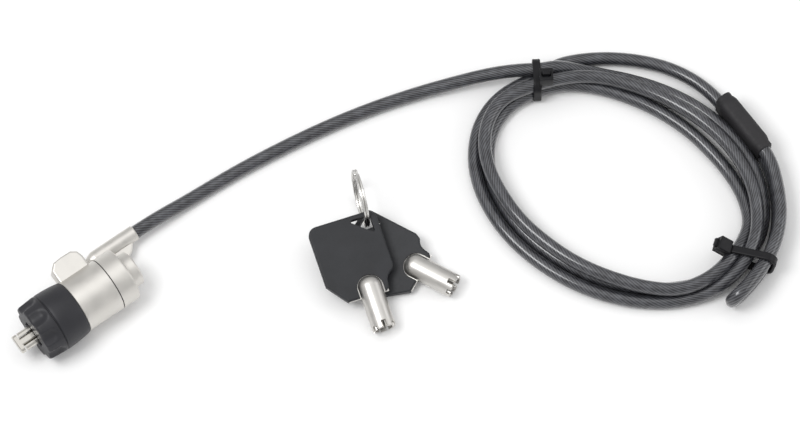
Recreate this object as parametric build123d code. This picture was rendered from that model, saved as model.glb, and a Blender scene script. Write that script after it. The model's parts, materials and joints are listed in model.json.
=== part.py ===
"""Laptop cable lock: a barrel lock head on a swivelling, coiled steel cable, with two tubular keys.

Frame: origin at the centre of the nose face, +X along the barrel towards the cable end,
+Y towards the thumb wing, +Z up. The table is TABLE_Z below the barrel's axis. Millimetres.
"""
from build123d import *
import math
import os

# ---- driving dimensions -------------------------------------------------------------------
TABLE_Z = -10.25          # table top, one nose-cap radius below the barrel's axis
ROLL = 14.0               # turn of the lock head about its axis: wing and prongs rise towards +Y

CAP_END = 16.0            # rear edge of the rubber nose cap
CAP_GROOVE_X = 6.6
CAP_FRONT_R = 9.75
CAP_MAX_R = 10.25
CAP_REAR_R = 9.4
CAP_WALL = 1.9            # front wall of the cap
CAP_FLUTES = 8
SLOT_LENGTH = 8.8
SLOT_WIDTH = 3.9

NECK_R = 7.9              # front neck of the housing, inside the cap
BARREL_R = 9.25
BARREL_END = 29.4
WASHER_T = 0.2
COLLAR_START = BARREL_END + WASHER_T
COLLAR_END = 35.9
JOURNAL_R = 7.3           # the collar turns on this
RUNNING_GAP = 0.05
CLIP_RECESS_R = 8.4
CLIP_RECESS_X = 35.0
CLIP_T = 0.6

WING_R = 15.7
WING_T = 6.0
WING_START = 16.2
WING_END = 27.6

CASE_R = 6.0
CASE_START = 13.2
CASE_END = 39.7
CASE_BORE_R = 5.05
CASE_REAR_WALL = 1.3
KEYHOLE_R = 4.15
STATOR_START = 15.0
SHEAR_X = 27.0            # plane between stator and rotor
ROTOR_END = 33.0
CORE_R = 5.0
POST_R = 2.62
SPINDLE_R = 1.6

PIN_COUNT = 7
PIN_PITCH_R = 3.45
PIN_R = 0.72
CHAMBER_R = 0.80
CHAMBER_END = 16.5
DRIVER_LENGTH = 4.0
KEY_PIN_LENGTHS = (7.6, 8.6, 7.1, 9.1, 8.1, 7.6, 8.6)
SPRING_TURNS = 6
SPRING_WIRE = 0.24

TIP_X = -6.6              # far end of the T-bar's head
HEAD_T = 1.5
TIP_WIDTH = 6.6
TIP_THICK = 2.6
NECK_BAR_R = 1.5
PRONG_END = -4.6
PRONG_GAP = 0.2           # between the T-bar's neck and each anti-rotation pin
CARRIER_X = 2.3
CARRIER_T = 2.0
CARRIER_R = 6.8

CABLE_D = 4.5
CABLE_R = CABLE_D / 2
FERRULE_Y = 12.3
FERRULE_Z = -5.6
FERRULE_R = 2.65
FERRULE_END = 48.3
FERRULE_NOSE = 2.6        # the ferrule's front end narrows over this length
FERRULE_NOSE_R = 1.5
FERRULE_WEB_T = 3.4       # web that joins the ferrule to the collar
FERRULE_BORE_X = 37.2
STOP_LENGTH = 5.0

# ---- coil: three turns on an oval lying on the table --------------------------------------
COIL_X = 186.3
COIL_Y = -69.2
COIL_LONG = 48.4          # semi-axes of the middle of the bundle
COIL_SHORT = 36.5
COIL_TURN = 116.0         # direction of the long axis, degrees from +X
COIL_HEIGHT = 9.3
COIL_EDGE = 2.0
# The turns fan out between the ties: degrees round the oval, and inner and outer edge from its line.
COIL_EDGES = [
    (38, -3.7, 6.0), (66, -4.9, 4.9), (80, -6.4, 4.8), (100, -7.7, 4.7), (123, -8.6, 4.4), (142, -7.5, 4.3),
    (160, -5.1, 4.1), (184, -4.9, 4.7), (225, -4.0, 5.2), (255, -5.0, 4.4), (285, -6.7, 3.3), (318, -6.6, 3.2),
    (345, -5.0, 4.3), (372, -3.0, 6.2), (398, -3.7, 6.0),
]

# Cable routes, hand-placed: (x, y, height of the centre above the table).
LEAD_ROUTE = [
    (51.8, 12.3, 4.65), (60.0, 12.2, 4.0), (69.0, 12.0, 2.6), (79.5, 11.6, 2.3),
    (91.5, 10.8, 2.3), (104.5, 9.3, 2.3), (117.5, 7.4, 2.3), (130.5, 4.9, 2.3), (143.0, 1.8, 2.3),
    (155.0, -2.0, 2.6), (166.0, -6.6, 4.0), (176.0, -11.4, 5.8), (184.5, -16.4, 6.8), (191.0, -20.9, 6.9),
]
TAIL_ROUTE = [
    (191.5, -21.6, 3.2), (197.2, -21.4, 3.1), (203.6, -23.6, 2.6), (211.5, -28.2, 2.3), (219.0, -34.6, 2.3),
    (225.4, -42.0, 2.3), (229.8, -50.0, 2.4), (232.0, -58.4, 2.9), (232.5, -66.8, 3.15),
]
LOOP_ROUTE = [
    (231.7, -88.4, 3.15), (230.2, -94.5, 2.7), (227.3, -101.0, 2.3), (223.7, -107.0, 2.3),
    (219.0, -112.4, 2.4), (212.8, -117.3, 3.3), (205.4, -121.0, 3.3), (198.3, -123.1, 2.5),
    (191.0, -124.2, 2.6), (189.0, -124.9, 6.3), (191.2, -125.6, 9.8), (196.8, -124.4, 9.4),
    (203.0, -122.4, 8.4), (209.4, -119.8, 7.95), (216.0, -115.6, 7.7), (221.4, -110.4, 7.0),
    (225.4, -104.6, 6.9), (228.1, -99.6, 6.9), (230.4, -94.5, 7.4), (231.7, -88.4, 7.75),
]

# ---- loop sleeve, over the two strands of the end loop ------------------------------------
SLEEVE_FRONT = (232.5, -66.0)
SLEEVE_REAR = (231.7, -89.4)
SLEEVE_LENGTH = math.dist(SLEEVE_FRONT, SLEEVE_REAR)
SLEEVE_W = 6.4
SLEEVE_H = 10.9
SLEEVE_WALL = 0.5
CRIMP_INSET = 3.0         # crimp shorter than the sleeve at each end
STRAND_R = 2.2            # cable squeezed by the crimp
SLEEVE_LOW = 3.15         # heights of the two strands in it
SLEEVE_HIGH = 7.75

# ---- cable ties -----------------------------------------------------------------------------
TIE_W = 2.6
TIE_T = 1.1
TIE_HEAD = 4.6
TIE_1_AT = 34.5           # place on the oval, degrees
TIE_1_SHIFT = 1.5         # middle of the strap, outwards from the middle of the bundle
TIE_1_WIDTH = 9.4         # inside the strap
TIE_1_HEIGHT = 11.2       # over the strap
TIE_1_SKEW = -18.0          # degrees out of square to the cables
TIE_1_HEAD = (-2.4, 12.4, 2.8)     # outwards, up, along the cables
TIE_2_AT = 187.5
TIE_2_SHIFT = 2.3
TIE_2_WIDTH = 14.8
TIE_2_HEIGHT = 11.2
TIE_2_SKEW = 20.0
TIE_2_HEAD = (-9.6, 9.6, 0.0)

# ---- keys -----------------------------------------------------------------------------------
KEY_TUBE_R = 4.0
KEY_TUBE_WALL = 1.0
KEY_TUBE_START = 20.8
KEY_TUBE_END = 39.2
BOW_LEFT = -13.8          # bow outline, measured across from the tube's axis
BOW_RIGHT = 9.6
BOW_LENGTH = 27.3
BOW_T = 2.8
WEB_T = 1.0
BOW_CORNER_R = 3.0
KEY_LEVEL = 4.0           # height of a tube's axis when the key lies on its tube
KEY_1_AT = (105.3, -27.6)
KEY_1_DIRECTION = -107.9
KEY_1_TILT = 10.35        # key 1 leans on key 2
KEY_1_BACK = 11.0
KEY_2_AT = (105.2, -30.1)
KEY_2_DIRECTION = -66.4
KEY_2_ROLL = 11.0         # key 2's bow is pressed down on its left edge
RING_WIRE = 0.9
RING_R = 9.4
RING_DIRECTION = 67.5
RING_AT = (110.0, -32.87)  # where the ring passes through key 1's hole


# ---- helpers ----------------------------------------------------------------------------------
def turned(points):
    """Solid of revolution about the X axis from (x, radius) corners."""
    outline = make_face(Polyline(*[(x, r) for x, r in points], close=True))
    return revolve(outline, Axis.X, 360)


def rod(x0, x1, radius, y=0.0, z=0.0):
    """Cylinder along X."""
    return Pos((x0 + x1) / 2, y, z) * Rot(0, 90, 0) * Cylinder(radius, x1 - x0)


def ring_x(x0, x1, outer, inner):
    return rod(x0, x1, outer) - rod(x0 - 1, x1 + 1, inner)


def rolled(shape, degrees=ROLL):
    return Rot(degrees, 0, 0) * shape


def around_axis(shape, count, offset=0.0):
    """Copies of a shape turned about the X axis."""
    return [Rot(offset + 360 * i / count, 0, 0) * shape for i in range(count)]


def save(node, shape):
    if isinstance(shape, (list, tuple, ShapeList)):
        shape = Compound(children=list(shape))
    shape.label = node
    export_step(shape, f"parts/{node}.step")


def bend_radii(points):
    """Arc radius at each inner corner of a cable route: 0.45 of the shorter run over tan(half turn)."""
    radii = []
    for before, here, after in zip(points, points[1:], points[2:]):
        run_in, run_out = here - before, after - here
        half_turn = math.radians(run_in.get_angle(run_out)) / 2
        radii.append(0.45 * min(run_in.length, run_out.length) / math.tan(half_turn))
    return radii


def cable_tube(name, route):
    """Plain tube along straight runs joined by tangent arcs."""
    points = [Vector(x, y, TABLE_Z + h) for x, y, h in route]
    radii = bend_radii(points)
    path = FilletPolyline(*points, radius=radii)
    start = Plane(origin=points[0], z_dir=points[1] - points[0])
    tube = sweep(start * Circle(CABLE_R), path=path)
    ideal = math.pi * CABLE_R ** 2 * path.length
    print(name, "length", round(path.length, 1), "radii", [round(r, 1) for r in radii],
          "volume/ideal", round(tube.volume / ideal, 4))
    return tube


# ---- lock head ----------------------------------------------------------------------------------
def oblong_slot(x0, x1, length, width):
    """Straight slot along X with rounded ends, its length along Y before the head is rolled."""
    section = Plane.YZ.offset(x0) * SlotOverall(length, width)
    return extrude(section, x1 - x0)


def nose_cap():
    outer = turned([
        (0, 0), (0, CAP_FRONT_R - 0.7), (0.7, CAP_FRONT_R), (CAP_GROOVE_X - 0.35, CAP_MAX_R),
        (CAP_GROOVE_X - 0.25, CAP_MAX_R - 0.35), (CAP_GROOVE_X + 0.25, CAP_MAX_R - 0.35),
        (CAP_GROOVE_X + 0.35, CAP_MAX_R), (11.0, 10.0), (CAP_END, CAP_REAR_R), (CAP_END, 0),
    ])
    bore = rod(CAP_WALL, CAP_END + 1, NECK_R)
    flute = rod(-1, 4.2, 3.4, y=12.5) + Pos(4.2, 12.5, 0) * Sphere(3.4)
    cap = outer - bore
    for cut in around_axis(flute, CAP_FLUTES, -ROLL):
        cap -= cut
    slot = Pos(0.5 * CAP_WALL, 0, 0) * Box(CAP_WALL + 2, SLOT_LENGTH, SLOT_WIDTH)
    return rolled(cap - slot)


def wing():
    """Radial thumb wing along +Y, rounded at its rear corner and chamfered at its front."""
    outline = make_face(Polyline(
        (WING_START, 6.8), (WING_START, WING_R - 2.4), (WING_START + 2.0, WING_R - 0.3),
        (WING_START + 5.0, WING_R), (WING_END - 2.6, WING_R - 0.1), (WING_END - 0.7, WING_R - 1.3),
        (WING_END, WING_R - 3.4), (WING_END, 6.8), close=True))
    slab = extrude(outline, WING_T / 2, both=True)
    edges = slab.edges().filter_by(lambda e: e.center().Y > 9.5)
    return fillet(edges, 0.7)


def barrel_housing():
    body = turned([
        (CAP_WALL + 0.2, 0), (CAP_WALL + 0.2, NECK_R), (CAP_END, NECK_R), (CAP_END, BARREL_R - 0.2),
        (CAP_END + 0.2, BARREL_R), (BARREL_END - 0.2, BARREL_R), (BARREL_END, BARREL_R - 0.2),
        (BARREL_END, JOURNAL_R), (CLIP_RECESS_X + 0.1, JOURNAL_R), (CLIP_RECESS_X + 0.1, JOURNAL_R - 0.35),
        (CLIP_RECESS_X + 0.1 + CLIP_T, JOURNAL_R - 0.35), (CLIP_RECESS_X + 0.1 + CLIP_T, JOURNAL_R),
        (COLLAR_END, JOURNAL_R), (COLLAR_END, 0),
    ])
    body += wing()
    body -= rod(0, CARRIER_X + CARRIER_T, CARRIER_R)
    body -= rod(0, CASE_START, 3.2)
    body -= rod(CASE_START, COLLAR_END + 1, CASE_R)
    body -= dowel_shape()
    return rolled(body)


def pin_carrier():
    """Plate that carries the two anti-rotation pins beside the T-bar's neck."""
    plate = rod(CARRIER_X, CARRIER_X + CARRIER_T, CARRIER_R - 0.02)
    prongs = oblong_slot(PRONG_END, CARRIER_X + 0.1, TIP_WIDTH, TIP_THICK)
    carrier = plate + prongs
    carrier -= rod(PRONG_END - 1, CARRIER_X + CARRIER_T + 1, NECK_BAR_R + PRONG_GAP)
    middle = Box(2 * (CARRIER_X - PRONG_END), 2 * (NECK_BAR_R + PRONG_GAP), TIP_THICK + 2)
    carrier -= Pos(PRONG_END, 0, 0) * middle
    return rolled(carrier)


def t_bar():
    """Head bar at the tip, round neck with two flats, and a shank with a square socket."""
    head = oblong_slot(TIP_X, TIP_X + HEAD_T, TIP_WIDTH, TIP_THICK)
    head = chamfer(head.faces().sort_by(Axis.X)[0].edges(), 0.25)
    neck = rod(TIP_X + HEAD_T, 4.5, NECK_BAR_R) & Box(60, 20, TIP_THICK)
    shank = rod(4.45, 12.4, 2.6)
    bar = head + neck + shank
    bar -= Pos(10.5, 0, 0) * Box(4.4, 2.2, 2.2)
    return rolled(bar)


def spindle():
    square = Pos(11.2, 0, 0) * Box(4.6, 2.16, 2.16)
    shaft = rod(12.9, 31.0, SPINDLE_R)
    groove = ring_x(14.2, 14.8, 3.0, SPINDLE_R - 0.25)
    flat = Pos(29.5, 0, 2.1) * Box(4.0, 4, 2)
    return rolled(square + shaft - groove - flat)


def spindle_clip():
    clip = ring_x(14.25, 14.75, 3.0, SPINDLE_R - 0.25)
    mouth = Pos(14.5, 0, -2.5) * Box(2, 1.9, 5)
    return rolled(clip - mouth)


def chambers(x0, x1, radius):
    return around_axis(rod(x0, x1, radius, y=PIN_PITCH_R), PIN_COUNT)


def stator():
    core = rod(STATOR_START, SHEAR_X, CORE_R)
    core -= rod(STATOR_START - 1, SHEAR_X + 1, SPINDLE_R + RUNNING_GAP)
    for chamber in chambers(CHAMBER_END, SHEAR_X + 1, CHAMBER_R):
        core -= chamber
    core -= dowel_shape()
    return rolled(core)


def rotor():
    """Turning front of the core: a disc with the pin chambers and the post the key slides over."""
    core = rod(SHEAR_X + 0.1, ROTOR_END, CORE_R - 0.01) + rod(ROTOR_END - 1, CASE_END - 0.5, POST_R)
    core -= rod(SHEAR_X - 1, 31.0, SPINDLE_R)
    core += Pos(29.5, 0, 2.1) * Box(3.0, 2.4, 2.0) & rod(SHEAR_X + 0.1, ROTOR_END, CORE_R - 0.01)
    for chamber in chambers(SHEAR_X, ROTOR_END + 1, CHAMBER_R):
        core -= chamber
    rim = core.edges().filter_by(GeomType.CIRCLE).sort_by(Axis.X)[-1]
    return rolled(chamfer(rim, 0.35))


def cylinder_case():
    case = rod(CASE_START, CASE_END, CASE_R)
    rim = case.edges().filter_by(GeomType.CIRCLE).sort_by(Axis.X)[-1]
    case = fillet(rim, 0.6)
    case -= rod(CASE_START - 1, CASE_END - CASE_REAR_WALL, CASE_BORE_R)
    case -= rod(CASE_END - 3, CASE_END + 1, KEYHOLE_R)
    case -= Pos(CASE_END, 0, KEYHOLE_R) * Box(4, 1.5, 1.5)
    case -= dowel_shape()
    return rolled(case)


def dowel_shape():
    """Radial pin that locks case and stator in the housing, under the barrel."""
    return Pos(20.0, 0, -6.8) * Cylinder(0.75, 4.8)


def retaining_dowel():
    return rolled(dowel_shape())


def key_pins():
    pins = []
    for i, length in enumerate(KEY_PIN_LENGTHS):
        pin = rod(SHEAR_X + 0.15, SHEAR_X + 0.15 + length, PIN_R, y=PIN_PITCH_R)
        pin = chamfer(pin.edges().sort_by(Axis.X)[-1], 0.2)
        pins.append(rolled(pin, ROLL + 360 * i / PIN_COUNT))
    return pins


def driver_pins():
    pin = rod(SHEAR_X - 0.1 - DRIVER_LENGTH, SHEAR_X - 0.1, PIN_R, y=PIN_PITCH_R)
    return [rolled(p) for p in around_axis(pin, PIN_COUNT)]


def pin_springs():
    length = SHEAR_X - 0.1 - DRIVER_LENGTH - CHAMBER_END - SPRING_WIRE - 0.1
    coil_r = PIN_R - SPRING_WIRE / 2 - 0.03
    path = Helix(pitch=length / SPRING_TURNS, height=length, radius=coil_r)
    start = Plane(origin=path @ 0, z_dir=path % 0)
    spring = sweep(start * Circle(SPRING_WIRE / 2), path=path)
    placed = Pos(CHAMBER_END + SPRING_WIRE / 2 + 0.05, PIN_PITCH_R, 0) * Rot(0, 90, 0) * spring
    return [rolled(s) for s in around_axis(placed, PIN_COUNT)]


def swivel_washer():
    return ring_x(BARREL_END, COLLAR_START - 0.02, BARREL_R - 0.15, JOURNAL_R)


def collar_clip():
    clip = ring_x(CLIP_RECESS_X + 0.12, CLIP_RECESS_X + 0.08 + CLIP_T, 8.2, JOURNAL_R - 0.35)
    mouth = Pos(CLIP_RECESS_X, 0, 8) * Box(4, 2.4, 3)
    return rolled(clip - mouth, -120)


# ---- swivel collar and cable end -------------------------------------------------------------
def gusset():
    """Web between the ferrule and the underside of the collar, with a rounded outer corner."""
    foot_y, foot_z = 5.6, -7.3
    slope = math.degrees(math.atan2(foot_z - FERRULE_Z, foot_y - FERRULE_Y))
    outline = make_face(Polyline(
        (31.0, 0), (31.0, 6.6), (35.2, 7.2), (40.5, 6.6), (43.6, 5.0), (45.6, 2.9), (46.6, 0), close=True))
    web = extrude(outline, 1.0, both=True)
    web = fillet(web.edges().filter_by(lambda e: e.center().X > 35 and e.center().Y > 1), 0.5)
    return Pos(0, FERRULE_Y, FERRULE_Z) * Rot(slope, 0, 0) * web


def ferrule():
    """Round-nosed tube that holds the end of the cable, with the web that carries it on the collar."""
    start = COLLAR_START + 0.1
    profile = make_face(Polyline(
        (start, 0), (start, FERRULE_NOSE_R), (start + 0.35 * FERRULE_NOSE, 0.5 * (FERRULE_NOSE_R + FERRULE_R)),
        (start + FERRULE_NOSE, FERRULE_R), (FERRULE_END - 0.3, FERRULE_R), (FERRULE_END, FERRULE_R - 0.3),
        (FERRULE_END, 0), close=True))
    tube = Pos(0, FERRULE_Y, FERRULE_Z) * revolve(profile, Axis.X, 360)
    reach = math.hypot(FERRULE_Y, FERRULE_Z)
    web = Pos((start + COLLAR_END) / 2, (reach + JOURNAL_R) / 2, 0) * Box(
        COLLAR_END - start - 0.4, reach - JOURNAL_R, FERRULE_WEB_T)
    web = fillet(web.edges().filter_by(Axis.Y), 0.8)
    return tube + Rot(math.degrees(math.atan2(FERRULE_Z, FERRULE_Y)), 0, 0) * web


def swivel_collar():
    """Ring that turns on the housing, with the ferrule for the cable beside it."""
    body = rod(COLLAR_START, COLLAR_END, BARREL_R)
    body = fillet(body.edges().filter_by(GeomType.CIRCLE).sort_by(Axis.X)[-1], 0.8)
    body = body + ferrule() + gusset()
    body -= rod(COLLAR_START - 1, COLLAR_END + 1, JOURNAL_R + RUNNING_GAP)
    body -= rod(CLIP_RECESS_X, COLLAR_END + 6, CLIP_RECESS_R)
    body -= rod(FERRULE_BORE_X, FERRULE_END + 1, CABLE_R, FERRULE_Y, FERRULE_Z)
    return body


def cable_stop():
    """Swaged steel sleeve on the end of the rope, at the bottom of the ferrule's bore."""
    stop = rod(FERRULE_BORE_X + 0.05, FERRULE_BORE_X + STOP_LENGTH, CABLE_R - 0.1, FERRULE_Y, FERRULE_Z)
    return chamfer(stop.edges().sort_by(Axis.X)[-1], 0.3)


# ---- coil, loop and sleeve ----------------------------------------------------------------------
def oval_point(degrees, outwards):
    """Point beside the coil's oval: t = 0 on the long axis, turning clockwise seen from above."""
    c, s = math.cos(math.radians(degrees)), math.sin(math.radians(degrees))
    slant = math.hypot(c / COIL_LONG, s / COIL_SHORT)
    along = COIL_LONG * c + outwards * c / COIL_LONG / slant
    across = COIL_SHORT * s + outwards * s / COIL_SHORT / slant
    turn = math.radians(COIL_TURN)
    x = COIL_X + along * math.cos(turn) + across * math.sin(turn)
    y = COIL_Y + along * math.sin(turn) - across * math.cos(turn)
    return Vector(x, y, TABLE_Z)


def coil_edges(degrees):
    """Inner and outer edge of the coil, from the oval's line, eased between the listed places."""
    for (start, *before), (end, *after) in zip(COIL_EDGES, COIL_EDGES[1:]):
        if start <= degrees <= end:
            t = (degrees - start) / (end - start)
            return [a + (b - a) * t * t * (3 - 2 * t) for a, b in zip(before, after)]
    raise ValueError(degrees)


def oval_face(side):
    """Closed outline of the coil's inner (0) or outer (1) edge."""
    first = COIL_EDGES[0][0]
    places = [first + 10 * i for i in range(36)]
    return make_face(Spline(*[oval_point(t, coil_edges(t)[side]) for t in places], periodic=True))


def coil_block():
    """Outer shape of the three turns."""
    ring = extrude(oval_face(1), COIL_HEIGHT) - extrude(oval_face(0), COIL_HEIGHT)
    return chamfer(ring.edges().filter_by(lambda e: e.length > 60), COIL_EDGE)


def sleeve_plane(height):
    """Plane on the sleeve's front face, its normal along the sleeve and its x upwards."""
    run = Vector(*SLEEVE_REAR) - Vector(*SLEEVE_FRONT)
    return Plane(origin=(*SLEEVE_FRONT, TABLE_Z + height), x_dir=(0, 0, 1), z_dir=run)


def sleeve_block(wall, inset):
    """Oblong block: the sleeve's outer shape, thinner by the wall and shorter by the inset."""
    plane = sleeve_plane((SLEEVE_LOW + SLEEVE_HIGH) / 2).offset(inset)
    return extrude(plane * SlotOverall(SLEEVE_H - 2 * wall, SLEEVE_W - 2 * wall), SLEEVE_LENGTH - 2 * inset)


def strands():
    """The two runs of cable inside the sleeve."""
    return [extrude(sleeve_plane(h) * Circle(STRAND_R), SLEEVE_LENGTH) for h in (SLEEVE_LOW, SLEEVE_HIGH)]


def loop_sleeve():
    block = sleeve_block(0, 0)
    along_y = block.faces().sort_by(Axis.Y)
    return chamfer(along_y[0].edges() + along_y[-1].edges(), 0.7)


def largest(shape):
    return shape.solids().sort_by(SortBy.VOLUME)[-1]


# ---- cable ties -----------------------------------------------------------------------------------
def tie_frame(at, shift, skew):
    """Frame at one place on the oval: x outwards, y up from the table, z along the cables."""
    outwards = (oval_point(at, shift + 1) - oval_point(at, shift)).rotate(Axis.Z, skew)
    return Plane(origin=oval_point(at, shift), x_dir=outwards, z_dir=outwards.cross(Vector(0, 0, 1)))


def cable_tie(at, shift, width, height, skew, head_at):
    """Closed loop of strap round the bundle, with its locking box."""
    frame = tie_frame(at, shift, skew)
    outer = Pos(0, height / 2) * RectangleRounded(width + 2 * TIE_T, height, 3.0)
    inner = Pos(0, height / 2) * RectangleRounded(width, height - 2 * TIE_T, 2.0)
    strap = extrude(frame * (outer - inner), TIE_W / 2, both=True)
    box = Box(TIE_HEAD, TIE_HEAD, TIE_HEAD)
    box = chamfer(box.edges(), 0.5) - Pos(0, TIE_HEAD / 2, 0) * Box(2.8, 2.0, 1.3)
    return strap + frame.location * Pos(*head_at) * box


# ---- keys -----------------------------------------------------------------------------------------
def bow_outline():
    """Key bow seen from above: x along the tube from the back edge, y across from the tube's axis."""
    r, diagonal = BOW_CORNER_R, BOW_CORNER_R * (1 - math.sqrt(0.5))
    left_corner = ThreePointArc((0, BOW_LEFT + r), (diagonal, BOW_LEFT + diagonal), (r, BOW_LEFT))
    left = Polyline(
        (r, BOW_LEFT), (20.3, BOW_LEFT), (BOW_LENGTH, -8.4), (BOW_LENGTH, 4.9), (26.4, 5.8), (25.2, 6.0))
    scoop = ThreePointArc((25.2, 6.0), (22.8, 6.8), (21.2, 8.8))
    right = Polyline((21.2, 8.8), (19.4, BOW_RIGHT), (r, BOW_RIGHT))
    right_corner = ThreePointArc((r, BOW_RIGHT), (diagonal, BOW_RIGHT - diagonal), (0, BOW_RIGHT - r))
    back = Line((0, BOW_RIGHT - r), (0, BOW_LEFT + r))
    return make_face(Wire([*left_corner.edges(), *left.edges(), *scoop.edges(), *right.edges(),
                           *right_corner.edges(), *back.edges()]))


def ring_hole():
    """Three-cornered hole beside a back corner of the bow."""
    corner = make_face(Polyline((1.5, -0.3), (1.5, 7.5), (8.0, 7.5), close=True))
    return extrude(fillet(corner.vertices(), 0.6), 5, both=True)


def key_blade():
    """Tube with the bitting cuts in its end, and the flat web that the bow is moulded round."""
    tube = rod(KEY_TUBE_START, KEY_TUBE_END, KEY_TUBE_R)
    tube = fillet(tube.edges().sort_by(Axis.X)[0], 3.5)
    tube = chamfer(tube.edges().sort_by(Axis.X)[-1], 0.25)
    web = Pos(19.0, -1.3, 0) * Box(17.0, 13.6, WEB_T)
    blade = tube + web
    blade -= rod(KEY_TUBE_START + 2.5, KEY_TUBE_END + 1, KEY_TUBE_R - KEY_TUBE_WALL)
    for i in range(PIN_COUNT):
        depth = (2.4, 1.4, 1.9, 1.0, 1.6, 2.1, 1.2)[i]
        cut = rod(KEY_TUBE_END - depth, KEY_TUBE_END + 1, 0.85, y=KEY_TUBE_R - 0.25)
        blade -= Rot(90 + 360 * i / PIN_COUNT, 0, 0) * cut
    return blade - ring_hole()


def key_head(blade):
    """Plastic bow moulded round the web, with a U cut that leaves room round the tube."""
    head = extrude(bow_outline(), BOW_T / 2, both=True)
    head = fillet(head.faces().filter_by(Axis.Z).edges(), 0.6)
    clearance = KEY_TUBE_R + 0.35
    cut_centre = KEY_TUBE_START - 0.3 + clearance
    head -= Pos(cut_centre, 0, 0) * Cylinder(clearance, 8)
    head -= Pos(cut_centre + 5, 0, 0) * Box(10, 2 * clearance, 8)
    return head - ring_hole() - blade


def placed_key(shape, at, direction, back_height, tilt, roll):
    return Pos(*at, TABLE_Z + back_height) * Rot(0, 0, direction) * Rot(0, tilt, 0) * Rot(roll, 0, 0) * shape


def key_ring():
    """Split ring of two turns standing on the table through both holes."""
    direction = math.radians(RING_DIRECTION)
    centre_x = RING_AT[0] + RING_R * math.cos(direction)
    centre_y = RING_AT[1] + RING_R * math.sin(direction)
    turn = Torus(RING_R, RING_WIRE / 2)
    step = Cylinder(RING_WIRE * 0.32, RING_WIRE * 1.2)
    pair = Pos(0, 0, RING_WIRE * 0.49) * turn + Pos(0, 0, -RING_WIRE * 0.49) * turn + Pos(RING_R, 0, 0) * step
    height = TABLE_Z + RING_R + RING_WIRE / 2
    return Pos(centre_x, centre_y, height) * Rot(0, 0, RING_DIRECTION) * Rot(90, 0, 0) * pair


# ---- build ----------------------------------------------------------------------------------------
def cable_parts():
    """Coil, lead, tail, end loop, sleeve, crimp and ties, cut so that they meet face to face."""
    outer = loop_sleeve()
    loop = cable_tube("cable_loop", LOOP_ROUTE) - outer
    tie_1 = cable_tie(TIE_1_AT, TIE_1_SHIFT, TIE_1_WIDTH, TIE_1_HEIGHT, TIE_1_SKEW, TIE_1_HEAD)
    tie_2 = cable_tie(TIE_2_AT, TIE_2_SHIFT, TIE_2_WIDTH, TIE_2_HEIGHT, TIE_2_SKEW, TIE_2_HEAD)
    coil = largest(coil_block() - outer - loop - tie_1 - tie_2)
    tail = largest(cable_tube("cable_tail", TAIL_ROUTE) - coil - outer - tie_1)
    inside = [(FERRULE_BORE_X + STOP_LENGTH + 0.05, FERRULE_Y, FERRULE_Z - TABLE_Z)]
    lead = largest(cable_tube("cable_lead", inside + LEAD_ROUTE) - coil - tie_1)
    crimp = sleeve_block(SLEEVE_WALL, CRIMP_INSET)
    sleeve = outer - crimp
    for strand in strands():
        sleeve -= strand
        crimp -= strand
    return {
        "cable_coil": coil, "cable_lead": lead, "cable_tail": tail, "cable_loop": largest(loop - tie_2),
        "loop_sleeve": sleeve, "loop_crimp": crimp, "crimped_strands": strands(),
        "cable_tie_1": tie_1, "cable_tie_2": tie_2,
    }


def key_parts():
    blade = key_blade()
    head = key_head(blade)
    places = {
        1: (KEY_1_AT, KEY_1_DIRECTION, KEY_1_BACK, KEY_1_TILT, 0.0),
        2: (KEY_2_AT, KEY_2_DIRECTION, KEY_LEVEL, 0.0, KEY_2_ROLL),
    }
    parts = {"key_ring": key_ring()}
    for number, place in places.items():
        parts[f"key_{number}_blade"] = placed_key(blade, *place)
        parts[f"key_{number}_head"] = placed_key(head, *place)
    return parts


def lock_parts():
    builders = (
        nose_cap, barrel_housing, pin_carrier, t_bar, spindle, spindle_clip, stator, rotor, cylinder_case,
        key_pins, driver_pins, pin_springs, retaining_dowel, swivel_washer, collar_clip, swivel_collar,
        cable_stop,
    )
    return {builder.__name__: builder() for builder in builders}


if __name__ == "__main__":
    os.makedirs("parts", exist_ok=True)
    for name, shape in {**lock_parts(), **cable_parts(), **key_parts()}.items():
        save(name, shape)
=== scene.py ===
"""Looks of a laptop cable lock: barrel lock head, tied steel cable in clear vinyl, two tubular keys.

Metres, in the part's own frame: origin at the centre of the nose face, +X along the barrel,
+Y towards the thumb wing, +Z up. The table is TABLE_Z below the barrel's axis.
"""
import json
import math

import bmesh
import bpy
from mathutils import Matrix, Vector


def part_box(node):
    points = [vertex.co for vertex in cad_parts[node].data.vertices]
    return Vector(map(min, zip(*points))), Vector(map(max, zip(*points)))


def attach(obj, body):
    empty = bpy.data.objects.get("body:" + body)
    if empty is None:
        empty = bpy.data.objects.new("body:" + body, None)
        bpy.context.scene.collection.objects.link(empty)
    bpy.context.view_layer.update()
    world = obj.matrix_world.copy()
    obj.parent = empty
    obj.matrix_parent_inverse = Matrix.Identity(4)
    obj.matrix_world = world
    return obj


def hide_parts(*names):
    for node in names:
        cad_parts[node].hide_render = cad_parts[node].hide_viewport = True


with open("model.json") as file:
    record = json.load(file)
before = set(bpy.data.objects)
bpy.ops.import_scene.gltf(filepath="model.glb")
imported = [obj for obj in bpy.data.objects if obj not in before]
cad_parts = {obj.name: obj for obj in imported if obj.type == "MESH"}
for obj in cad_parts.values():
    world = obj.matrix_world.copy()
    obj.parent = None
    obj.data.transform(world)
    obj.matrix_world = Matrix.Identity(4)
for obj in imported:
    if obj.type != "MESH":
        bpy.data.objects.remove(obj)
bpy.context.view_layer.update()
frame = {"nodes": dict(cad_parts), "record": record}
nodes = frame["nodes"]

# ---- sizes ----------------------------------------------------------------------------------------
MM = 0.001
TABLE_Z = -10.25 * MM
ROLL = math.radians(14.0)            # turn of the lock head about its axis

CABLE_D = 4.5 * MM
CABLE_R = CABLE_D / 2
CABLE_SPACING = 1.2 * MM             # between the tube's rings

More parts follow.
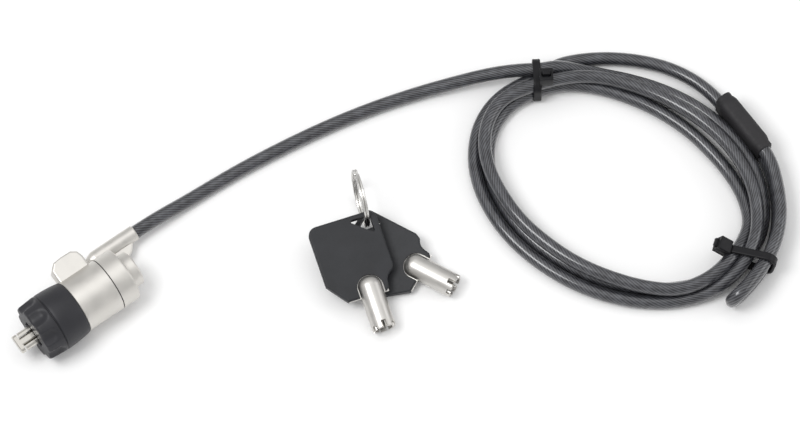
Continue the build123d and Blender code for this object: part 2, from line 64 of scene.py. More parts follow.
# Coil: three turns on an oval lying on the table.
COIL_X = 186.3 * MM
COIL_Y = -69.2 * MM
COIL_LONG = 48.4 * MM
COIL_SHORT = 36.5 * MM
COIL_TURN = math.radians(116.0)
TURNS = 3
STEP = 15                            # degrees between the coil's control points
TOUCHING = 1.01 * CABLE_D            # between the centres of two turns that lie on each other
TRIANGLE = TOUCHING / math.sqrt(3)   # from the bundle's middle to each of its three cables
TWIST_START, TWIST_END = 160, 225    # the bundle turns by a third here

# Between the ties the turns fan out: degrees round the oval, how far the outer strand stands off it,
# how far that strand is raised, and how far the upper and the inner strand stand off it. The rows
# were tuned against the outline of the coil in the photograph.
FAN = [
    (38, 3.3, 0.0, 1.0, -1.3), (54, 3.0, 0.0, 0.7, -1.6), (66, 2.5, 0.0, -0.2, -2.6),
    (80, 2.5, 0.0, -0.9, -4.1), (100, 2.3, 1.6, -1.6, -5.6), (123, 2.0, 2.6, -1.8, -6.3),
    (142, 1.9, 2.4, -1.6, -5.3), (160, 1.8, 0.0, -0.5, -2.8), (225, 2.9, 0.0, 0.6, -1.7),
    (255, 2.1, 0.0, -2.6, -2.7), (285, 1.0, 0.0, -4.4, -3.6), (318, 0.8, 0.0, -4.3, -3.8),
    (345, 1.9, 0.0, -1.4, -2.7), (372, 3.9, 0.0, 1.6, -0.7), (398, 3.3, 0.0, 1.0, -1.3),
]

JOIN_AT = 38.0                       # the lead and the tail join the coil here, degrees
JOIN_REACH = 26                      # and the turns close up over this many degrees each side
JOIN_TOP = (-0.8 * MM, 7.8 * MM)     # (outwards, height) of the upper turn there
JOIN_TAIL = (3.65 * MM, 3.35 * MM)   # and of the turn that becomes the tail
TIE_1_AT = 34.5                      # place on the oval, degrees
TIE_2_AT = 187.5
TIE_REACH = 14 * MM                  # cables nearer than this to a tie's middle pass through it
TIE_T = 1.1 * MM
TIE_W = 2.6 * MM
TIE_HEAD = 4.6 * MM
TIE_CHAMFER = 0.22 * MM

SLEEVE_LOW = 3.15 * MM               # heights of the two cables in the loop's sleeve
SLEEVE_HIGH = 7.75 * MM
SLEEVE_FRONT = (232.5 * MM, -66.0 * MM)
SLEEVE_REAR = (231.7 * MM, -89.4 * MM)

SLOT_LENGTH = 8.8 * MM               # oblong slot in the nose
SLOT_WIDTH = 3.9 * MM
SLOT_LEAD = 0.35 * MM                # its rounded edge
CAP_BORE_R = 7.95 * MM
CAP_WALL = 1.9 * MM                  # thickness of the nose
CAP_SEGMENTS = 240
CAP_FLUTES = 8
FLUTE_DEPTH = 1.15 * MM
FLUTE_END = 6.0 * MM

RING_WIRE = 0.9 * MM
RING_DIRECTION = 67.5                # the split ring's plane, degrees from +X
RING_STEP_AT = 60.0                  # where its wire starts, degrees up from that direction

ROPE_LAY = 26.0 * MM                 # one turn of the rope's strands
ROPE_STRANDS = 15

CAMERA_AT = (-0.23319, -0.50822, 1.25858)
CAMERA_AIM = (0.12181, -0.03488, TABLE_Z)
LENS = 191.0

# Cable routes, part.py's points and a few more: (x, y, height of the centre above the table).
LEAD_ROUTE = [
    (0.04225, 0.0123, 0.00465), (0.0518, 0.0123, 0.00465), (0.0600, 0.0122, 0.0040),
    (0.0690, 0.0120, 0.0026), (0.0795, 0.0116, 0.0023), (0.0915, 0.0108, 0.0023),
    (0.1045, 0.0093, 0.0023), (0.1175, 0.0074, 0.0023), (0.1305, 0.0049, 0.0023),
    (0.1430, 0.0018, 0.0023), (0.1550, -0.0020, 0.0026), (0.1660, -0.0066, 0.0040),
    (0.1760, -0.0114, 0.0058), (0.1845, -0.0164, 0.0068),
]
TAIL_ROUTE = [
    (0.1972, -0.0214, 0.0031), (0.2036, -0.0236, 0.0026), (0.2115, -0.0282, 0.0023),
    (0.2190, -0.0346, 0.0023), (0.2254, -0.0420, 0.0023), (0.2298, -0.0500, 0.0024),
    (0.2320, -0.0584, 0.0029), (0.2325, -0.0668, 0.00315),
]
# Mostly worked out from angles and offsets chosen round the coil's oval. The fold's points were
# then moved one by one.
LOOP_ROUTE = [
    (0.2317, -0.0884, 0.00315), (0.2302, -0.0945, 0.0027), (0.2273, -0.1010, 0.0023),
    (0.2237, -0.1070, 0.0023), (0.2190, -0.1124, 0.0024), (0.2128, -0.1173, 0.0033),
    (0.2054, -0.1210, 0.0033), (0.1983, -0.1231, 0.0025), (0.1910, -0.1242, 0.0026),
    (0.1890, -0.1249, 0.0063), (0.1912, -0.1256, 0.0098), (0.1968, -0.1244, 0.0094),
    (0.2030, -0.1224, 0.0084), (0.2094, -0.1198, 0.00795), (0.2160, -0.1156, 0.0077),
    (0.2214, -0.1104, 0.0070), (0.2254, -0.1046, 0.0069), (0.2281, -0.0996, 0.0069),
    (0.2304, -0.0945, 0.0074), (0.2317, -0.0884, 0.00775), (0.2324, -0.0690, 0.00775),
]


# ---- small helpers --------------------------------------------------------------------------------
def smooth(value, start, end):
    """0 before start, 1 after end, and a smooth step between."""
    t = min(1.0, max(0.0, (value - start) / (end - start)))
    return t * t * (3 - 2 * t)


def bump_near(value, centre, flat, reach):
    """1 within flat of the centre, falling smoothly to 0 at reach."""
    return 1 - smooth(abs(value - centre), flat, reach)


def add_mesh(name, bm, material, shade_smooth=True):
    mesh = bpy.data.meshes.new(name)
    bm.normal_update()
    bm.to_mesh(mesh)
    bm.free()
    obj = bpy.data.objects.new(name, mesh)
    bpy.context.scene.collection.objects.link(obj)
    mesh.materials.append(material)
    for polygon in mesh.polygons:
        polygon.use_smooth = shade_smooth
    return obj


# ---- camera ---------------------------------------------------------------------------------------
def set_camera():
    data = bpy.data.cameras.new("camera")
    data.sensor_width = 36.0
    data.lens = LENS
    data.clip_start = 0.05
    data.clip_end = 10.0
    camera = bpy.data.objects.new("camera", data)
    camera.location = CAMERA_AT
    aim = Vector(CAMERA_AIM)
    camera.rotation_euler = (aim - camera.location).to_track_quat("-Z", "Y").to_euler()
    bpy.context.scene.collection.objects.link(camera)
    bpy.context.scene.camera = camera


# ---- cable ----------------------------------------------------------------------------------------
def oval_point(degrees, outwards, height):
    """Point beside the coil's oval: 0 on the long axis, turning clockwise seen from above."""
    c, s = math.cos(math.radians(degrees)), math.sin(math.radians(degrees))
    slant = math.hypot(c / COIL_LONG, s / COIL_SHORT)
    along = COIL_LONG * c + outwards * c / COIL_LONG / slant
    across = COIL_SHORT * s + outwards * s / COIL_SHORT / slant
    x = COIL_X + along * math.cos(COIL_TURN) + across * math.sin(COIL_TURN)
    y = COIL_Y + along * math.sin(COIL_TURN) - across * math.cos(COIL_TURN)
    return Vector((x, y, TABLE_Z + height))


def fan_row(at):
    """The fan's values at one place on the oval, eased between the listed places."""
    at = at if at >= FAN[0][0] else at + 360
    for (start, *before), (end, *after) in zip(FAN, FAN[1:]):
        if start <= at <= end:
            share = smooth(at, start, end)
            return [(a + (b - a) * share) * MM for a, b in zip(before, after)]
    raise ValueError(at)


def bundle_place(degrees):
    """(outwards, height) of the cable among the three turns, for an angle that counts up turn by turn."""
    turn, at = divmod(degrees, 360)
    outer, raised, upper, inner = fan_row(at)
    lift = TIE_T * (bump_near(at, TIE_2_AT, 4, 16) + bump_near(at, TIE_1_AT, 6, 24))
    if TWIST_START < at < TWIST_END:
        twist = smooth(at, TWIST_START, TWIST_END)
        corner = [math.radians(-30 - 120 * (turn + twist + other)) for other in range(3)]
        middle = CABLE_R - TRIANGLE * min(math.sin(a) for a in corner) + lift
        return (outer + inner) / 2 + TRIANGLE * math.cos(corner[0]), middle + TRIANGLE * math.sin(corner[0])
    strand = (int(turn) + (at >= TWIST_END)) % 3
    if strand == 0:
        return outer, CABLE_R + lift + raised
    if strand == 1:
        return inner, CABLE_R + lift
    over = [base + math.sqrt(TOUCHING ** 2 - (upper - place) ** 2)
            for place, base in ((outer, raised), (inner, 0.0)) if abs(upper - place) < TOUCHING]
    return upper, CABLE_R + lift + max(over, default=0.0)


def tied_place(degrees):
    """(outwards, height) near the first tie, where the lead and the tail join two of the turns."""
    outwards, height = bundle_place(degrees)
    at = (degrees - JOIN_AT) % 360
    after = at if at < 180 else at - 360
    if abs(after) > JOIN_REACH:
        return outwards, height
    top_out, top_height = bundle_place(2 * 360 + JOIN_AT + after)
    pull = bump_near(after, 0, 5, JOIN_REACH)
    top_out += pull * (JOIN_TOP[0] - top_out)
    top_height += pull * (JOIN_TOP[1] - top_height)
    passing = round((degrees - JOIN_AT) / 360)
    if passing == 2:
        return top_out, top_height
    if passing == 0:
        swing = math.radians(-60 * (1 - pull))
    elif passing == 1:
        swing = math.radians(-90 - 30 * (1 - pull))
    else:
        return outwards + pull * (JOIN_TAIL[0] - outwards), height + pull * (JOIN_TAIL[1] - height)
    return top_out + CABLE_D * math.cos(swing), top_height + CABLE_D * math.sin(swing)


def coil_points():
    """Three turns from the join round to the join again."""
    start, end = JOIN_AT, JOIN_AT + 360 * TURNS
    angles = [start, start + 7]
    angles += [a for a in range(0, 360 * (TURNS + 1), STEP) if start + 11 < a < end - 3]
    angles.append(end)
    return [oval_point(a, *tied_place(a)) for a in angles]


def cable_route():
    def raised(route):
        return [Vector((x, y, TABLE_Z + height)) for x, y, height in route]
    return raised(LEAD_ROUTE) + coil_points() + raised(TAIL_ROUTE) + raised(LOOP_ROUTE)


def centreline(points, name="route"):
    """Points along the smooth NURBS line that has these control points."""
    curve = bpy.data.curves.new(name, "CURVE")
    curve.dimensions = "3D"
    curve.resolution_u = 10
    spline = curve.splines.new("NURBS")
    spline.points.add(len(points) - 1)
    for point, place in zip(spline.points, points):
        point.co = (*place, 1.0)
    spline.order_u = 3
    spline.use_endpoint_u = True
    holder = bpy.data.objects.new(name, curve)
    bpy.context.scene.collection.objects.link(holder)
    bpy.context.view_layer.update()
    mesh = bpy.data.meshes.new_from_object(holder)
    line = [v.co.copy() for v in mesh.vertices]
    bpy.data.objects.remove(holder)
    bpy.data.meshes.remove(mesh)
    return line


def evenly(line, spacing):
    """The same line with its points a fixed distance apart."""
    result = [line[0]]
    left = spacing
    for a, b in zip(line, line[1:]):
        length = (b - a).length
        while length > 0 and left <= length:
            a = a + (b - a) * (left / length)
            result.append(a)
            length -= left
            left = spacing
        left -= length
    if left > spacing / 2:
        result.pop()
    return result + [line[-1]]


def tube(name, line, radius, material, sides=20):
    """Closed tube along a line, with v along it and u round it, both in tube radii."""
    bm = bmesh.new()
    uv = bm.loops.layers.uv.new("UVMap")
    tangent = (line[1] - line[0]).normalized()
    side = tangent.orthogonal().normalized()
    rings, travelled = [], [0.0]
    for i, point in enumerate(line):
        ahead = (line[min(i + 1, len(line) - 1)] - line[max(i - 1, 0)]).normalized()
        side = (side - ahead * side.dot(ahead)).normalized()
        other = ahead.cross(side)
        rings.append([bm.verts.new(point + radius * (side * math.cos(a) + other * math.sin(a)))
                      for a in (2 * math.pi * k / sides for k in range(sides))])
        if i:
            travelled.append(travelled[-1] + (point - line[i - 1]).length)
    for i in range(len(line) - 1):
        for k in range(sides):
            n = (k + 1) % sides
            face = bm.faces.new((rings[i][k], rings[i][n], rings[i + 1][n], rings[i + 1][k]))
            corners = ((k, i), (k + 1, i), (k + 1, i + 1), (k, i + 1))
            for loop, (u, v) in zip(face.loops, corners):
                loop[uv].uv = (u / sides, travelled[v] / (2 * math.pi * radius))
    bm.faces.new(reversed(rings[0]))
    bm.faces.new(rings[-1])
    return add_mesh(name, bm, material)


# ---- materials ------------------------------------------------------------------------------------
class Shader:
    """A Principled material, with short ways to add the nodes that drive it."""

    def __init__(self, name, colour, roughness, metallic=0.0):
        self.material = bpy.data.materials.new(name)
        self.material.use_nodes = True
        self.tree = self.material.node_tree
        self.main = self.tree.nodes["Principled BSDF"]
        self.set("Base Color", (*colour, 1))
        self.set("Roughness", roughness)
        self.set("Metallic", metallic)

    def set(self, socket, value):
        self.main.inputs[socket].default_value = value

    def link(self, output, target):
        self.tree.links.new(output, target)

    def feed(self, target, value):
        """Link a socket into another one, or set a constant on it."""
        if isinstance(value, bpy.types.NodeSocket):
            self.link(value, target)
        else:
            target.default_value = value

    def node(self, kind, **inputs):
        node = self.tree.nodes.new(kind)
        for socket, value in inputs.items():
            self.feed(node.inputs[socket], value)
        return node

    def math(self, operation, a, b=0.0, c=0.0):
        node = self.tree.nodes.new("ShaderNodeMath")
        node.operation = operation
        for target, value in zip(node.inputs, (a, b, c)):
            self.feed(target, value)
        return node.outputs[0]

    def place(self, stretch=(1, 1, 1)):
        """Object coordinates, stretched along the axes."""
        coordinates = self.node("ShaderNodeTexCoord")
        mapping = self.node("ShaderNodeMapping", Vector=coordinates.outputs["Object"])
        mapping.inputs["Scale"].default_value = stretch
        return mapping.outputs["Vector"]

    def noise(self, scale, detail=3.0, stretch=(1, 1, 1)):
        node = self.node("ShaderNodeTexNoise", Vector=self.place(stretch), Scale=scale, Detail=detail)
        return node.outputs["Fac"]

    def ramp(self, factor, *stops):
        """Colour ramp of (position, colour or grey)."""
        node = self.node("ShaderNodeValToRGB", Fac=factor)
        while len(node.color_ramp.elements) < len(stops):
            node.color_ramp.elements.new(0.5)
        for element, (position, colour) in zip(node.color_ramp.elements, stops):
            element.position = position
            element.color = (*colour, 1) if isinstance(colour, tuple) else (colour, colour, colour, 1)
        return node.outputs["Color"]

    def bump(self, height, strength, distance):
        node = self.node("ShaderNodeBump", Height=height, Strength=strength, Distance=distance)
        self.link(node.outputs["Normal"], self.main.inputs["Normal"])

    def colour_from(self, output):
        self.link(output, self.main.inputs["Base Color"])

    def roughness_from(self, factor, low, high):
        self.link(self.ramp(factor, (0.25, low), (0.75, high)), self.main.inputs["Roughness"])


def cable_material():
    """Steel rope under clear grey vinyl: helical strands below a smooth glossy coat."""
    shader = Shader("cable_vinyl", (0.1, 0.1, 0.11), 0.35)
    uv = shader.node("ShaderNodeUVMap")
    split = shader.node("ShaderNodeSeparateXYZ", Vector=uv.outputs["UV"])
    around, along = split.outputs["X"], split.outputs["Y"]
    turns_per_v = 2 * math.pi * CABLE_R / ROPE_LAY
    helix = shader.math("MULTIPLY_ADD", along, -turns_per_v, around)

    def ridges(count):
        wave = shader.math("SINE", shader.math("MULTIPLY", helix, math.pi * count))
        return shader.math("ABSOLUTE", wave)

    strand = shader.math("POWER", ridges(ROPE_STRANDS), 2.0)
    height = shader.math("MULTIPLY_ADD", ridges(ROPE_STRANDS * 3), 0.3, strand)
    patches = shader.noise(420.0, 3.0)
    tone = shader.math("MULTIPLY_ADD", shader.math("SUBTRACT", patches, 0.5), 1.5, height)
    shader.colour_from(shader.ramp(tone, (0.05, (0.014, 0.014, 0.017)), (0.6, (0.03, 0.03, 0.034)),
                                   (1.0, (0.085, 0.088, 0.099))))
    shader.bump(height, 0.3, 0.08 * MM)
    shader.set("Metallic", 0.2)
    shader.set("Specular IOR Level", 0.3)
    shader.set("Coat Weight", 1.0)
    shader.set("Coat Roughness", 0.09)
    return shader.material


def nickel_material(name, colour, roughness, lines=0.15):
    """Satin plated metal with faint turning lines round the barrel and a little mottling."""
    shader = Shader(name, colour, roughness, 1.0)
    cloud = shader.noise(260.0, 4.0)
    turned = shader.noise(900.0, 2.0, (3.0, 0.25, 0.25))
    shader.roughness_from(cloud, roughness * 0.85, roughness * 1.2)
    low = tuple(c * 0.94 for c in colour)
    shader.colour_from(shader.ramp(cloud, (0.3, low), (0.7, colour)))
    shader.bump(turned, lines, 0.02 * MM)
    return shader.material


def chrome_material(name, colour=(0.82, 0.81, 0.79), roughness=0.1):
    shader = Shader(name, colour, roughness, 1.0)
    wear = shader.noise(420.0, 5.0)
    shader.roughness_from(wear, roughness * 0.7, roughness * 1.8)
    shader.bump(wear, 0.06, 0.03 * MM)
    return shader.material


def moulded_material(name, colour, roughness, grain=1400.0, depth=0.05, strength=0.35):
    """Moulded rubber or plastic with a fine spark-eroded grain."""
    shader = Shader(name, colour, roughness)
    fine = shader.noise(grain, 3.0)
    broad = shader.noise(120.0, 3.0)
    dark, light = tuple(c * 0.86 for c in colour), tuple(c * 1.14 for c in colour)
    shader.colour_from(shader.ramp(broad, (0.3, dark), (0.7, light)))
    shader.roughness_from(fine, roughness * 0.88, min(1.0, roughness * 1.15))
    shader.bump(fine, strength, depth * MM)
    return shader.material


def pale_floor_material():
    shader = Shader("floor", (0.93, 0.93, 0.93), 0.75)
    shader.set("Specular IOR Level", 0.2)
    return shader.material


MATERIALS = {
    "floor": pale_floor_material(),
    "cable_vinyl": cable_material(),
    "cap_rubber": moulded_material("cap_rubber", (0.021, 0.021, 0.025), 0.46),
    "satin_nickel": nickel_material("satin_nickel", (0.67, 0.651, 0.617), 0.46),
    "nickel": nickel_material("nickel", (0.6, 0.58, 0.55), 0.34),
    "steel": nickel_material("steel", (0.55, 0.55, 0.55), 0.3),
    "brass": nickel_material("brass", (0.72, 0.52, 0.22), 0.3),
    "bright_chrome": chrome_material("bright_chrome", (0.6, 0.58, 0.54), 0.16),
    "key_nickel": nickel_material("key_nickel", (0.62, 0.605, 0.58), 0.36, 0.25),
    "ring_steel": chrome_material("ring_steel", (0.7, 0.69, 0.67), 0.14),
    "washer_black": moulded_material("washer_black", (0.03, 0.03, 0.032), 0.6),
    "sleeve_plastic": moulded_material("sleeve_plastic", (0.022, 0.021, 0.023), 0.6, 1100.0),
    "crimp_metal": nickel_material("crimp_metal", (0.7, 0.7, 0.7), 0.35),
    "tie_nylon": moulded_material("tie_nylon", (0.009, 0.009, 0.0105), 0.4, 900.0, 0.03),
    "key_plastic": moulded_material("key_plastic", (0.021, 0.022, 0.025), 0.5),
}
SHEEN_LEVELS = {"cap_rubber": 0.35, "washer_black": 0.3, "sleeve_plastic": 0.35, "tie_nylon": 0.2,
                "key_plastic": 0.35}
for dull, level in SHEEN_LEVELS.items():
    shader_node = MATERIALS[dull].node_tree.nodes["Principled BSDF"]
    shader_node.inputs["Specular IOR Level"].default_value = level


def finish_cad_nodes():
    """Every CAD node that stays visible gets the material of its slot."""
    for part in frame["record"]["subparts"]:
        node = nodes[part["node"]]
        node.data.materials.clear()
        node.data.materials.append(MATERIALS[part["material_slot"]])


# ---- nose cap ---------------------------------------------------------------------------------------
def slot_edge(angle):
    """Distance from the axis to the edge of the nose's oblong slot, in a direction about the axis."""
    across, upright = abs(math.cos(angle - ROLL)), abs(math.sin(angle - ROLL))
    return min(SLOT_LENGTH / 2 / max(across, 1e-6), SLOT_WIDTH / 2 / max(upright, 1e-6))


def flute_depth(x, angle):
    """Shallow finger dimples round the front of the cap, each with a rounded inner end."""
    across = abs(math.sin(CAP_FLUTES * angle / 2))
    hollow = max(0.0, 1 - (across / 0.86) ** 2) ** 0.75
    end = FLUTE_END - 1.6 * MM * across ** 2
    return FLUTE_DEPTH * hollow * (1 - smooth(x, end - 1.7 * MM, end))


def nose_cap():
    """Rubber cap: slotted front face, fluted grip, groove, and a barrel-shaped rear band."""
    outside = [(0.0, 9.05), (0.12, 9.4), (0.4, 9.68), (0.9, 9.82), (1.6, 9.9), (2.4, 9.96),
               (3.2, 10.02), (4.0, 10.08), (4.8, 10.14), (5.6, 10.2), (6.1, 10.22), (6.32, 10.16),
               (6.42, 9.86), (6.6, 9.76),
               (6.78, 9.86), (6.88, 10.16), (7.1, 10.25), (8.2, 10.25), (9.6, 10.2), (11.2, 10.08),
               (12.8, 9.9), (14.4, 9.68), (15.4, 9.5), (15.85, 9.36), (16.0, 9.15)]
    bm = bmesh.new()
    angles = [2 * math.pi * k / CAP_SEGMENTS for k in range(CAP_SEGMENTS)]

    def ring(x, radius_at):
        places = [(radius_at(a), a) for a in angles]
        return [bm.verts.new((x, r * math.cos(a), r * math.sin(a))) for r, a in places]

    rim = outside[0][1] * MM
    rings = [ring(outside[-1][0] * MM, lambda a: CAP_BORE_R), ring(CAP_WALL, lambda a: CAP_BORE_R),
             ring(CAP_WALL, slot_edge), ring(SLOT_LEAD, slot_edge),
             ring(0.08 * MM, lambda a: slot_edge(a) + 0.1 * MM),
             ring(0.0, lambda a: slot_edge(a) + SLOT_LEAD)]
    for share in (0.3, 0.6, 0.85):
        rings.append(ring(0.0, lambda a: (slot_edge(a) + SLOT_LEAD) * (1 - share)
                          + (rim - flute_depth(0.0, a)) * share))
    for x, radius in outside:
        rings.append(ring(x * MM, lambda a: radius * MM - flute_depth(x * MM, a)))
    rings.append(rings[0])
    for first, second in zip(rings, rings[1:]):
        for k in range(CAP_SEGMENTS):
            n = (k + 1) % CAP_SEGMENTS
            bm.faces.new((first[k], second[k], second[n], first[n]))
    return add_mesh("nose_cap_skin", bm, MATERIALS["cap_rubber"])


# ---- cable ties ---------------------------------------------------------------------------------------
def sweep(bm, path, section, sideways):
    """Closed band: a section of (outwards, sideways) points carried round a closed flat path."""
    count = len(path)
    rings = []
    for i, point in enumerate(path):
        ahead = (path[(i + 1) % count] - path[i - 1]).normalized()
        outwards = ahead.cross(sideways)
        rings.append([bm.verts.new(point + outwards * u + sideways * v) for u, v in section])
    for i in range(count):
        a, b = rings[i], rings[(i + 1) % count]
        for k in range(len(section)):
            n = (k + 1) % len(section)
            bm.faces.new((a[k], a[n], b[n], b[k]))


def rounded_box(bm, size, matrix, bevel, segments=3):
    made = bmesh.ops.create_cube(bm, size=1.0)["verts"]
    bmesh.ops.scale(bm, vec=size, verts=made)
    edges = {edge for v in made for edge in v.link_edges}
    made = bmesh.ops.bevel(bm, geom=list(edges), offset=bevel, segments=segments, profile=0.5,
                           affect="EDGES")["verts"]
    bmesh.ops.transform(bm, matrix=matrix, verts=made)


def convex_loop(points):
    """Outline round flat points, anticlockwise."""
    points = sorted(points)

    def half(ordered):
        chain = []
        for p in ordered:
            while len(chain) > 1 and ((chain[-1][0] - chain[-2][0]) * (p[1] - chain[-2][1])
                                      <= (chain[-1][1] - chain[-2][1]) * (p[0] - chain[-2][0])):
                chain.pop()
            chain.append(p)
        return chain[:-1]

    return half(points) + half(points[::-1])


def tie_frame(at, shift, skew):
    """Matrix at one place on the oval: x outwards, y up from the table, z along the cables."""
    origin = oval_point(at, shift, 0)
    outwards = (oval_point(at, shift + MM, 0) - origin).normalized()
    outwards.rotate(Matrix.Rotation(math.radians(skew), 3, "Z"))
    up = Vector((0, 0, 1))
    along = outwards.cross(up)
    matrix = Matrix((outwards, up, along)).transposed().to_4x4()
    matrix.translation = origin
    return matrix


def cable_tie(name, line, at, shift, skew, head_at, head_tilt):
    """Nylon tie pulled tight round the cables that cross its plane, with its locking head and cut tail."""
    matrix = tie_frame(at, shift, skew)
    inverse = matrix.inverted()
    local = [inverse @ p for p in line]
    crossings = [a.lerp(b, a.z / (a.z - b.z)) for a, b in zip(local, local[1:])
                 if a.z * b.z <= 0 and a.z != b.z and abs(a.x) < TIE_REACH]
    reach = CABLE_R + 0.04 * MM + TIE_T / 2
    around = [(c.x + reach * math.cos(t) / math.cos(math.radians(skew)), c.y + reach * math.sin(t))
              for c in crossings for t in (math.radians(7.5 * k) for k in range(48))]
    hull = [Vector((x, max(y, TIE_T / 2), 0)) for x, y in convex_loop(around)]
    hull = evenly(hull + [hull[0]], 0.45 * MM)[:-1]
    w, t, c = TIE_W / 2, TIE_T / 2, TIE_CHAMFER
    section = [(-t, -w + c), (-t + c, -w), (t - c, -w), (t, -w + c), (t - 0.05 * MM, -w * 0.5),
               (t - 0.05 * MM, w * 0.5), (t, w - c), (t - c, w), (-t + c, w), (-t, w - c)]
    bm = bmesh.new()
    sweep(bm, hull, section, Vector((0, 0, 1)))
    tilt = Matrix.Rotation(math.radians(head_tilt), 4, "Z")
    head = Matrix.Translation([v * MM for v in head_at]) @ tilt
    slot_w, slot_h = TIE_W + 0.3 * MM, TIE_T + 0.5 * MM
    side = (TIE_HEAD - slot_w) / 2
    cap = (TIE_HEAD - slot_h) / 2
    for sign in (-1, 1):
        cheek = head @ Matrix.Translation((sign * (slot_h + cap) / 2, 0, 0))
        rounded_box(bm, (cap, TIE_HEAD, TIE_HEAD), cheek, 0.3 * MM)
        rounded_box(bm, (slot_h + 0.7 * MM, TIE_HEAD * 0.97, side),
                    head @ Matrix.Translation((0, 0, sign * (slot_w + side) / 2)), 0.25 * MM)
    cut_tail = head @ Matrix.Translation((0, 0.35 * MM, 0))
    rounded_box(bm, (TIE_T, TIE_HEAD + 1.4 * MM, TIE_W), cut_tail, 0.12 * MM)
    pawl = head @ Matrix.Translation((slot_h * 0.42, TIE_HEAD * 0.32, 0)) @ Matrix.Rotation(0.5, 4, "Z")
    rounded_box(bm, (0.5 * MM, 1.8 * MM, TIE_W * 0.8), pawl, 0.1 * MM)
    bmesh.ops.transform(bm, matrix=matrix, verts=bm.verts)
    bmesh.ops.recalc_face_normals(bm, faces=bm.faces)
    return add_mesh(name, bm, MATERIALS["tie_nylon"])


# ---- loop sleeve ----------------------------------------------------------------------------------------
def rounded_oblong(half_width, half_height, corner, per_corner=7):
    """Points of a rectangle with rounded corners, in (width, height)."""
    points = []
    for quarter, (sx, sy) in enumerate(((1, 1), (-1, 1), (-1, -1), (1, -1))):
        for k in range(per_corner):
            a = math.pi / 2 * (quarter + k / (per_corner - 1))
            points.append((sx * (half_width - corner) + corner * math.cos(a),
                           sy * (half_height - corner) + corner * math.sin(a)))
    return points


def loop_sleeve():
    """Moulded sleeve over the crimp: straight body, chamfered shoulders and a short collar at each end."""
    front = Vector((*SLEEVE_FRONT, TABLE_Z + (SLEEVE_LOW + SLEEVE_HIGH) / 2))
    along = (Vector((*SLEEVE_REAR, front.z)) - front).normalized()
    across = along.cross(Vector((0, 0, 1)))
    length = (Vector(SLEEVE_REAR) - Vector(SLEEVE_FRONT)).length
    collar, full = (2.75 * MM, 5.0 * MM), (3.2 * MM, 5.45 * MM)
    ends = [(0.0, -0.3), (0.25, 0.0), (1.5, 0.0), (1.9, 0.1), (2.3, 0.45), (3.3, 0.92), (3.9, 1.0)]
    stations = [(s * MM, share) for s, share in ends]
    stations += [(length - s, share) for s, share in reversed(stations)]
    bm = bmesh.new()
    rings = []
    for place, share in stations:
        w = collar[0] + (full[0] - collar[0]) * share
        h = collar[1] + (full[1] - collar[1]) * share
        rings.append([bm.verts.new(front + along * place + across * u + Vector((0, 0, v)))
                      for u, v in rounded_oblong(w, h, min(w * 0.72, 2.1 * MM))])
    for a, b in zip(rings, rings[1:]):
        for k in range(len(a)):
            n = (k + 1) % len(a)
            bm.faces.new((a[k], b[k], b[n], a[n]))
    bm.faces.new(rings[0])
    bm.faces.new(reversed(rings[-1]))
    bmesh.ops.recalc_face_normals(bm, faces=bm.faces)
    return add_mesh("loop_sleeve_skin", bm, MATERIALS["sleeve_plastic"])


# ---- key ring -------------------------------------------------------------------------------------------
def split_ring():
    """Wire wound twice round, with a short step where one turn passes to the other."""
    low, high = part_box("key_ring")
    centre = (low + high) / 2
    radius = (high.z - low.z) / 2 - RING_WIRE / 2
    direction = math.radians(RING_DIRECTION)
    in_plane = Vector((math.cos(direction), math.sin(direction), 0))
    across = Vector((-math.sin(direction), math.cos(direction), 0))
    line = []
    steps = 240
    for i in range(steps + 1):
        turn = 2 * i / steps
        angle = 2 * math.pi * turn + math.radians(RING_STEP_AT)
        offset = RING_WIRE * 0.98 * (smooth(turn, 0.93, 1.07) - 0.5)
        line.append(centre + radius * (in_plane * math.cos(angle) + Vector((0, 0, math.sin(angle))))
                    + across * offset)
    return tube("split_ring", line, RING_WIRE / 2, MATERIALS["ring_steel"], 14)


# ---- build ----------------------------------------------------------------------------------------
def stands_for(piece, body, material_slot, *replaced):
    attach(piece, body)
    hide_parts(*replaced)
    return piece


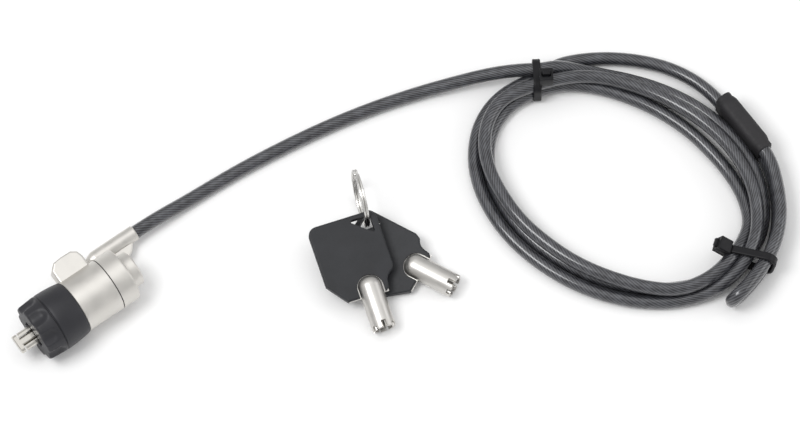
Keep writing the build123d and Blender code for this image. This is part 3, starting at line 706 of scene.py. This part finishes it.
def build_cable():
    line = evenly(centreline(cable_route()), CABLE_SPACING)
    cable = stands_for(tube("cable", line, CABLE_R, MATERIALS["cable_vinyl"]), "cable_set", "cable_vinyl",
                       "cable_lead", "cable_coil", "cable_tail", "cable_loop", "crimped_strands")
    tie_1 = cable_tie("tie_1", line, TIE_1_AT, 1.5 * MM, -18.0, (-2.4, 12.4, 2.8), 0.0)
    tie_2 = cable_tie("tie_2", line, TIE_2_AT, 2.3 * MM, 20.0, (-9.6, 9.6, 0.0), 60.0)
    stands_for(tie_1, "cable_set", "tie_nylon", "cable_tie_1")
    stands_for(tie_2, "cable_set", "tie_nylon", "cable_tie_2")
    sleeve = stands_for(loop_sleeve(), "cable_set", "sleeve_plastic", "loop_sleeve")


def build_stage():
    bm = bmesh.new()
    corners = [bm.verts.new((x, y, TABLE_Z)) for x, y in ((-2, -2), (2.4, -2), (2.4, 2), (-2, 2))]
    bm.faces.new(corners)
    floor = add_mesh("floor", bm, MATERIALS["floor"], shade_smooth=False)


def add_light(name, place, aim, size, power, colour=(1, 1, 1)):
    data = bpy.data.lights.new(name, "AREA")
    data.shape = "RECTANGLE"
    data.size, data.size_y = size
    data.energy = power
    data.color = colour
    light = bpy.data.objects.new(name, data)
    light.location = place
    light.rotation_euler = (Vector(aim) - Vector(place)).to_track_quat("-Z", "Y").to_euler()
    bpy.context.scene.collection.objects.link(light)


def light_scene():
    world = bpy.data.worlds.new("world")
    bpy.context.scene.world = world
    world.use_nodes = True
    world.node_tree.nodes["Background"].inputs["Color"].default_value = (1, 1, 1, 1)
    world.node_tree.nodes["Background"].inputs["Strength"].default_value = 0.64
    middle = (0.12, -0.04, 0.0)
    add_light("overhead", (0.1, 0.1, 1.1), middle, (1.6, 1.2), 3.2)
    add_light("window", (-0.27, 0.07, 0.75), (0.19, -0.07, 0.0), (0.34, 0.34), 2.9)
    add_light("side", (0.9, -0.5, 0.5), middle, (0.7, 0.5), 1.6)


set_camera()
build_stage()
light_scene()
finish_cad_nodes()
build_cable()
stands_for(nose_cap(), "lock_head", "cap_rubber", "nose_cap")
stands_for(split_ring(), "ring", "ring_steel", "key_ring")

bpy.context.scene.view_settings.view_transform = "Standard"
